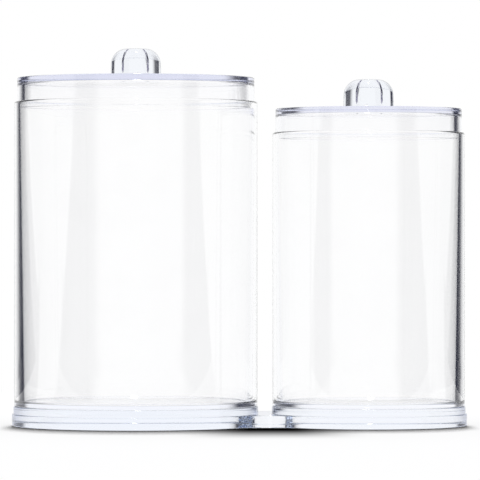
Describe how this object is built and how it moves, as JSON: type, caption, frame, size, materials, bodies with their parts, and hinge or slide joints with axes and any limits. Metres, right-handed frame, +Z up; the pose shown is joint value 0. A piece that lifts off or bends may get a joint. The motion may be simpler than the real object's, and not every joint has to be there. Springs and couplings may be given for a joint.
{
  "type": "double cotton holder",
  "caption": "Pair of clear lidded jars, one taller and wider than the other, standing side by side on a waisted base, with fluted knobs on the lids.",
  "frame": {"origin": "middle of the underside of the base, at the bottom centre of the bounding box", "axes": "+X along the length, from the large jar to the small jar; +Z up; +Y completes the right-handed frame, and the picture looks along it"},
  "size_m": [0.1802, 0.0982, 0.1492],
  "materials": {
    "base_plastic": "clear polished plastic, faintly blue in the thick edges",
    "jar_plastic": "clear polished plastic",
    "lid_plastic": "clear polished plastic",
    "knob_plastic": "clear polished plastic"
  },
  "bodies": {
    "root": {"base": "base_plastic", "large_jar": "jar_plastic", "small_jar": "jar_plastic", "large_lid": "lid_plastic", "small_lid": "lid_plastic", "large_knob": "knob_plastic", "small_knob": "knob_plastic"}
  },
  "joints": []
}
